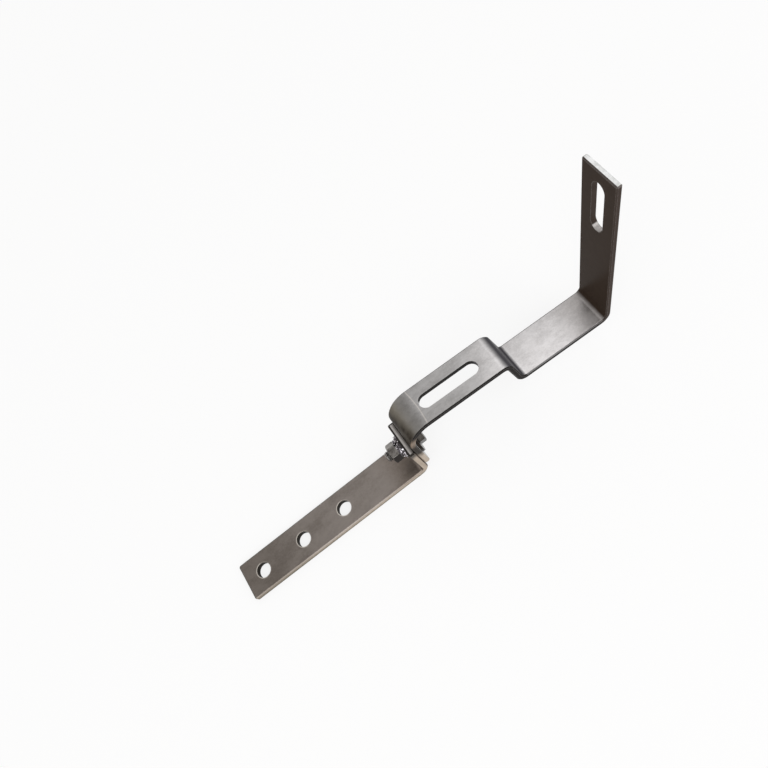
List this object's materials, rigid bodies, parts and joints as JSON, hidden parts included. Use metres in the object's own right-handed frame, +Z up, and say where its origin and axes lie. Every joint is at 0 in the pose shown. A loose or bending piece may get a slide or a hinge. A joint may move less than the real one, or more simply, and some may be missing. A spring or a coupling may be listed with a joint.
{
  "type": "solar roof hook",
  "caption": "Bent steel roof hook: a drilled base strap with an upturned end, bolted to a slotted and stepped arm whose upright leg carries a mounting rail.",
  "frame": {"origin": "centre of the middle screw hole, on the underside of the base strap", "axes": "+X along the hook from the free end of the strap to the upright leg, +Y across the bars, +Z up, away from the rafter"},
  "size_m": [0.34, 0.03, 0.1396],
  "materials": {
    "strap_steel": "matt pickled stainless steel with a warm grey tone",
    "arm_steel": "matt pickled stainless steel",
    "bolt_steel": "bright rolled stainless steel",
    "washer_steel": "bright punched stainless steel",
    "spring_steel": "darker spring steel"
  },
  "bodies": {
    "root": {"base_strap": "strap_steel", "hook_arm": "arm_steel", "clamp_bolt": "bolt_steel", "head_washer": "washer_steel", "nut_washer": "washer_steel", "spring_washer": "spring_steel", "clamp_nut": "bolt_steel"}
  },
  "joints": []
}
